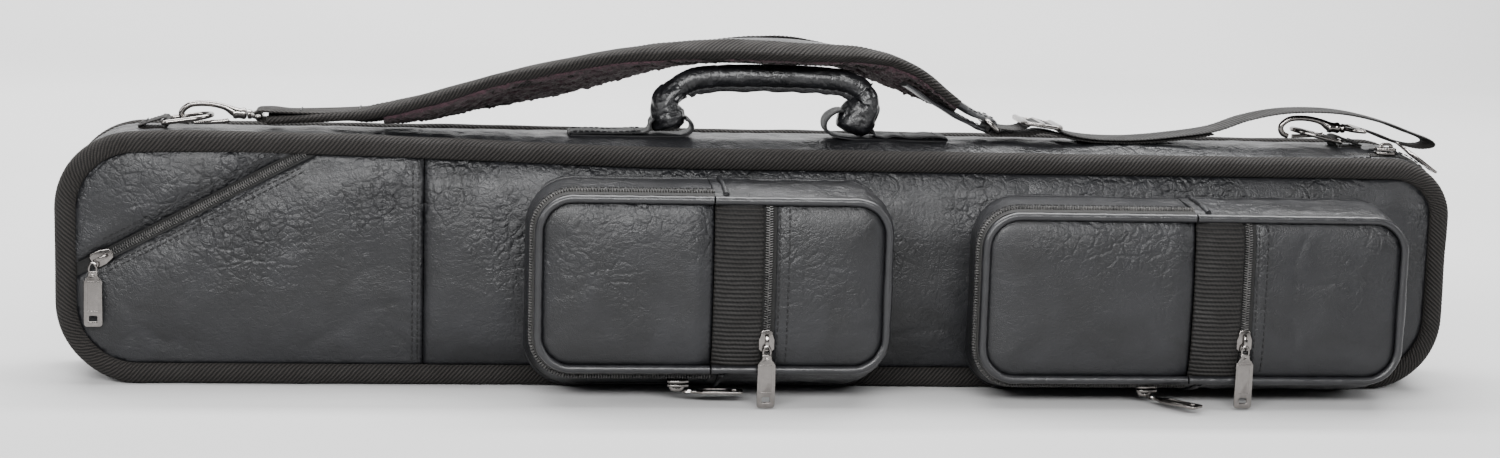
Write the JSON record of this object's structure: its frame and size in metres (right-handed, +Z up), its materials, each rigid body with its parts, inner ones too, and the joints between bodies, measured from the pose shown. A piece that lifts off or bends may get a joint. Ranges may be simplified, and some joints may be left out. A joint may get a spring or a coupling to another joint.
{
  "type": "cue_case",
  "caption": "Soft leatherette billiard cue case with two zipped front pockets, diagonal zip pocket, hinged end flap, rolled handle and padded shoulder strap on snap hooks.",
  "frame": {"origin": "bottom centre of the object's box, where the case stands on its long lower edge", "axes": "+X along the case towards the opening end, -Y to the pocket side, +Z up to the handle"},
  "size_m": [0.85, 0.1581, 0.2141],
  "materials": {
    "leather": "semi-gloss crinkle-grain leatherette",
    "twill": "diagonal twill binding tape",
    "webbing": "ribbed woven webbing",
    "zip_tape": "zip tape with a coil",
    "piping": "satin leatherette cord",
    "divider": "fleece over stiff board",
    "zip_metal": "bright gunmetal plate",
    "hardware": "bright nickel plate"
  },
  "bodies": {
    "case": {"front_panel": "leather", "front_panel_left": "leather", "front_panel_corner": "leather", "back_panel": "leather", "gusset_band": "leather", "pocket_1_gusset": "leather", "pocket_1_zip_gusset": "leather", "pocket_1_panel": "leather", "pocket_2_gusset": "leather", "pocket_2_zip_gusset": "leather", "pocket_2_panel": "leather", "handle_tab_left": "leather", "handle_tab_right": "leather", "front_binding": "twill", "back_binding": "twill", "pocket_1_webbing": "webbing", "pocket_2_webbing": "webbing", "dring_tab_left": "webbing", "dring_tab_right": "webbing", "diagonal_zip": "zip_tape", "main_zip_tape": "zip_tape", "pocket_1_slash_zip": "zip_tape", "pocket_2_slash_zip": "zip_tape", "pocket_1_piping": "piping", "pocket_2_piping": "piping", "butt_divider": "divider", "shaft_divider": "divider"},
    "end_flap": {"end_flap_gusset": "leather", "end_flap_binding": "twill", "end_flap_panel": "leather"},
    "pocket_1_flap": {"pocket_1_flap_gusset": "leather", "pocket_1_flap_panel": "leather", "pocket_1_flap_piping": "piping"},
    "pocket_2_flap": {"pocket_2_flap_gusset": "leather", "pocket_2_flap_panel": "leather", "pocket_2_flap_piping": "piping"},
    "handle": {"handle_grip": "leather", "handle_end_left": "leather", "handle_end_right": "leather"},
    "strap": {"strap_pad": "leather", "strap_webbing": "webbing"},
    "tri_glide": {"tri_glide": "hardware"},
    "hook_left": {"hook_left": "hardware"},
    "hook_right": {"hook_right": "hardware"},
    "gate_left": {"gate_left": "hardware"},
    "gate_right": {"gate_right": "hardware"},
    "dring_left": {"dring_left": "hardware"},
    "dring_right": {"dring_right": "hardware"},
    "diagonal_slider": {"diagonal_slider": "zip_metal"},
    "diagonal_pull": {"diagonal_pull": "zip_metal"},
    "main_slider": {"main_slider": "zip_metal"},
    "main_pull": {"main_pull": "zip_metal"},
    "pocket_1_slash_slider": {"pocket_1_slash_slider": "zip_metal"},
    "pocket_1_slash_pull": {"pocket_1_slash_pull": "zip_metal"},
    "pocket_2_slash_slider": {"pocket_2_slash_slider": "zip_metal"},
    "pocket_2_slash_pull": {"pocket_2_slash_pull": "zip_metal"},
    "pocket_1_gusset_slider": {"pocket_1_gusset_slider": "zip_metal"},
    "pocket_1_gusset_pull": {"pocket_1_gusset_pull": "zip_metal"},
    "pocket_2_gusset_slider": {"pocket_2_gusset_slider": "zip_metal"},
    "pocket_2_gusset_pull": {"pocket_2_gusset_pull": "zip_metal"}
  },
  "joints": [
    {"name": "end_flap_hinge", "type": "hinge", "parent": "case", "child": "end_flap", "pos_m": [0.375, 0.069, 0.075], "axis": [0, 0, 1], "range_deg": [0, 110]},
    {"name": "pocket_1_flap_hinge", "type": "hinge", "parent": "case", "child": "pocket_1_flap", "pos_m": [-0.0415, -0.0619, 0.07], "axis": [0, 0, 1], "range_deg": [0, 120]},
    {"name": "pocket_2_flap_hinge", "type": "hinge", "parent": "case", "child": "pocket_2_flap", "pos_m": [0.247, -0.0619, 0.07], "axis": [0, 0, 1], "range_deg": [0, 120]},
    {"name": "handle_swing", "type": "hinge", "parent": "case", "child": "handle", "pos_m": [0, 0.033, 0.158], "axis": [1, 0, 0], "range_deg": [-60, 60]},
    {"name": "strap_rock", "type": "hinge", "parent": "case", "child": "strap", "pos_m": [0, 0.033, 0.158], "axis": [1, 0, 0], "range_deg": [-7, 7]},
    {"name": "tri_glide_slide", "type": "slide", "parent": "strap", "child": "tri_glide", "axis": [0.9903, 0, -0.1392], "range_m": [-0.004, 0.015]},
    {"name": "hook_left_swivel", "type": "hinge", "parent": "strap", "child": "hook_left", "pos_m": [-0.317, 0.033, 0.1578], "axis": [1, 0, 0], "range_deg": [-15, 15]},
    {"name": "hook_right_swivel", "type": "hinge", "parent": "strap", "child": "hook_right", "pos_m": [0.3625, 0.033, 0.1605], "axis": [1, 0, 0], "range_deg": [-15, 15]},
    {"name": "gate_left_hinge", "type": "hinge", "parent": "hook_left", "child": "gate_left", "pos_m": [-0.3285, 0.033, 0.1536], "axis": [0, 1, 0], "range_deg": [0, 10], "stiffness_Nm_per_rad": 0.02},
    {"name": "gate_right_hinge", "type": "hinge", "parent": "hook_right", "child": "gate_right", "pos_m": [0.351, 0.033, 0.1563], "axis": [0, 1, 0], "range_deg": [0, 5], "stiffness_Nm_per_rad": 0.02},
    {"name": "dring_left_hinge", "type": "hinge", "parent": "case", "child": "dring_left", "pos_m": [-0.3645, 0.033, 0.1532], "axis": [0, -1, 0], "range_deg": [-2, 5]},
    {"name": "dring_right_hinge", "type": "hinge", "parent": "case", "child": "dring_right", "pos_m": [0.36, 0.033, 0.1532], "axis": [0, 1, 0], "range_deg": [-2, 5]},
    {"name": "diagonal_zip_travel", "type": "slide", "parent": "case", "child": "diagonal_slider", "axis": [0.8847, 0, 0.4662], "range_m": [0, 0.118]},
    {"name": "diagonal_pull_hinge", "type": "hinge", "parent": "diagonal_slider", "child": "diagonal_pull", "pos_m": [-0.40219, -0.0092, 0.0713], "axis": [-1, 0, 0], "range_deg": [0, 150]},
    {"name": "main_zip_travel", "type": "hinge", "parent": "case", "child": "main_slider", "pos_m": [0.387, 0.012, 0.112], "axis": [0, 1, 0], "range_deg": [0, 55]},
    {"name": "main_pull_hinge", "type": "hinge", "parent": "main_slider", "child": "main_pull", "pos_m": [0.3945, 0.012, 0.1536], "axis": [0, -1, 0], "range_deg": [0, 110]},
    {"name": "pocket_1_slash_zip_travel", "type": "slide", "parent": "case", "child": "pocket_1_slash_slider", "axis": [0, 0, 1], "range_m": [0, 0.07]},
    {"name": "pocket_1_slash_pull_hinge", "type": "hinge", "parent": "pocket_1_slash_slider", "child": "pocket_1_slash_pull", "pos_m": [-0.0095, -0.0656, 0.0358], "axis": [-1, 0, 0], "range_deg": [0, 150]},
    {"name": "pocket_2_slash_zip_travel", "type": "slide", "parent": "case", "child": "pocket_2_slash_slider", "axis": [0, 0, 1], "range_m": [0, 0.062]},
    {"name": "pocket_2_slash_pull_hinge", "type": "hinge", "parent": "pocket_2_slash_slider", "child": "pocket_2_slash_pull", "pos_m": [0.279, -0.0656, 0.0378], "axis": [-1, 0, 0], "range_deg": [0, 150]},
    {"name": "pocket_1_gusset_zip_travel", "type": "slide", "parent": "case", "child": "pocket_1_gusset_slider", "axis": [-1, 0, 0], "range_m": [0, 0.055]},
    {"name": "pocket_1_gusset_pull_hinge", "type": "hinge", "parent": "pocket_1_gusset_slider", "child": "pocket_1_gusset_pull", "pos_m": [-0.0555, -0.04787, 0.0064], "axis": [0, 1, 0], "range_deg": [0, 75]},
    {"name": "pocket_2_gusset_zip_travel", "type": "slide", "parent": "case", "child": "pocket_2_gusset_slider", "axis": [-1, 0, 0], "range_m": [0, 0.065]},
    {"name": "pocket_2_gusset_pull_hinge", "type": "hinge", "parent": "pocket_2_gusset_slider", "child": "pocket_2_gusset_pull", "pos_m": [0.22689, -0.05132, 0.0044], "axis": [0.766, 0.6428, 0], "range_deg": [0, 75]}
  ]
}
